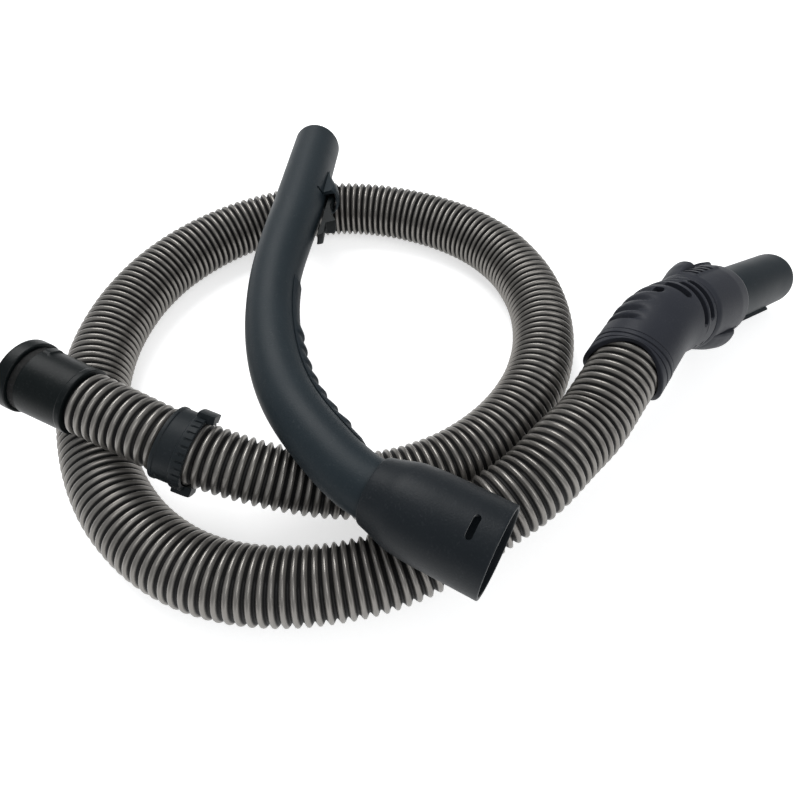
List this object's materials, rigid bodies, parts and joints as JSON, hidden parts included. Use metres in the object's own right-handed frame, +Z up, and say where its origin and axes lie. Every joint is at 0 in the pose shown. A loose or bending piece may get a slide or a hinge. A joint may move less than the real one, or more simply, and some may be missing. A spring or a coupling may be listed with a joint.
{
  "type": "vacuum cleaner hose",
  "caption": "Ribbed suction hose lying in a loop, with a snap cuff and lock collar, a bent swivelling machine end with latch tabs, and a separate curved handle with a bell socket.",
  "frame": {"origin": "middle of the box round the fittings and the handle, on the floor that the object lies on", "axes": "+X to the picture's right, along the longest extent; +Y away from the viewer; +Z up"},
  "size_m": [0.4701, 0.3484, 0.0847],
  "materials": {
    "hose_grey": "ribbed, silver grey crests, dark grooves",
    "cuff_black": "smooth satin black",
    "seal_rubber": "matt black",
    "handle_charcoal": "fine-grained bluish charcoal",
    "grip_charcoal": "soft, matt",
    "elbow_charcoal": "fine-grained dark grey",
    "spigot_slate": "satin dark slate",
    "washer_white": "smooth, natural white",
    "pin_steel": "plain steel"
  },
  "bodies": {
    "hose_run": {"hose": "hose_grey", "cuff_insert": "cuff_black", "elbow_insert": "cuff_black"},
    "cuff": {"cuff_body": "cuff_black", "cuff_seal": "seal_rubber"},
    "lock_collar": {"lock_collar_front": "cuff_black", "lock_collar_back": "cuff_black"},
    "elbow": {"elbow_ring": "elbow_charcoal", "swivel_washer": "washer_white", "elbow_barrel": "elbow_charcoal", "elbow_liner": "cuff_black", "elbow_housing": "elbow_charcoal", "machine_spigot": "spigot_slate"},
    "tab_upper": {"latch_tab_upper": "elbow_charcoal"},
    "tab_lower": {"latch_tab_lower": "elbow_charcoal"},
    "handle": {"handle_tube": "handle_charcoal", "handle_socket": "handle_charcoal", "socket_seal": "seal_rubber", "grip_strip": "grip_charcoal", "trigger_hood": "handle_charcoal", "lever_pin": "pin_steel", "lever_spring": "pin_steel"},
    "trigger": {"release_lever": "cuff_black"}
  },
  "joints": [
    {"name": "cuff_swivel", "type": "hinge", "parent": "hose_run", "child": "cuff", "pos_m": [-0.1922, -0.0721, 0.0557], "axis": [-0.9088, 0.3853, 0.1601], "continuous": true},
    {"name": "collar_turn", "type": "hinge", "parent": "hose_run", "child": "lock_collar", "pos_m": [-0.14118, -0.09264, 0.04544], "axis": [0.9245, -0.3021, -0.2325], "continuous": true},
    {"name": "elbow_swivel", "type": "hinge", "parent": "hose_run", "child": "elbow", "pos_m": [0.0951, -0.0367, 0.0448], "axis": [0.586, 0.7963, 0.1502], "continuous": true},
    {"name": "upper_latch_press", "type": "hinge", "parent": "elbow", "child": "tab_upper", "pos_m": [0.13087, 0.02315, 0.05288], "axis": [-0.4635, 0.3043, -0.8322], "range_deg": [0, 3], "stiffness_Nm_per_rad": 0.6},
    {"name": "lower_latch_press", "type": "hinge", "parent": "elbow", "child": "tab_lower", "pos_m": [0.14734, -0.00948, 0.03178], "axis": [0.4635, -0.3043, 0.8322], "range_deg": [0, 3], "stiffness_Nm_per_rad": 0.6},
    {"name": "handle_lift", "type": "slide", "parent": "hose_run", "child": "handle", "axis": [0, 0, 1], "range_m": [0, 0.12]},
    {"name": "release_trigger", "type": "hinge", "parent": "handle", "child": "trigger", "pos_m": [-0.07956, 0.10759, 0.05356], "axis": [-0.1054, -0.0079, -0.9944], "range_deg": [0, 2], "stiffness_Nm_per_rad": 0.3}
  ]
}
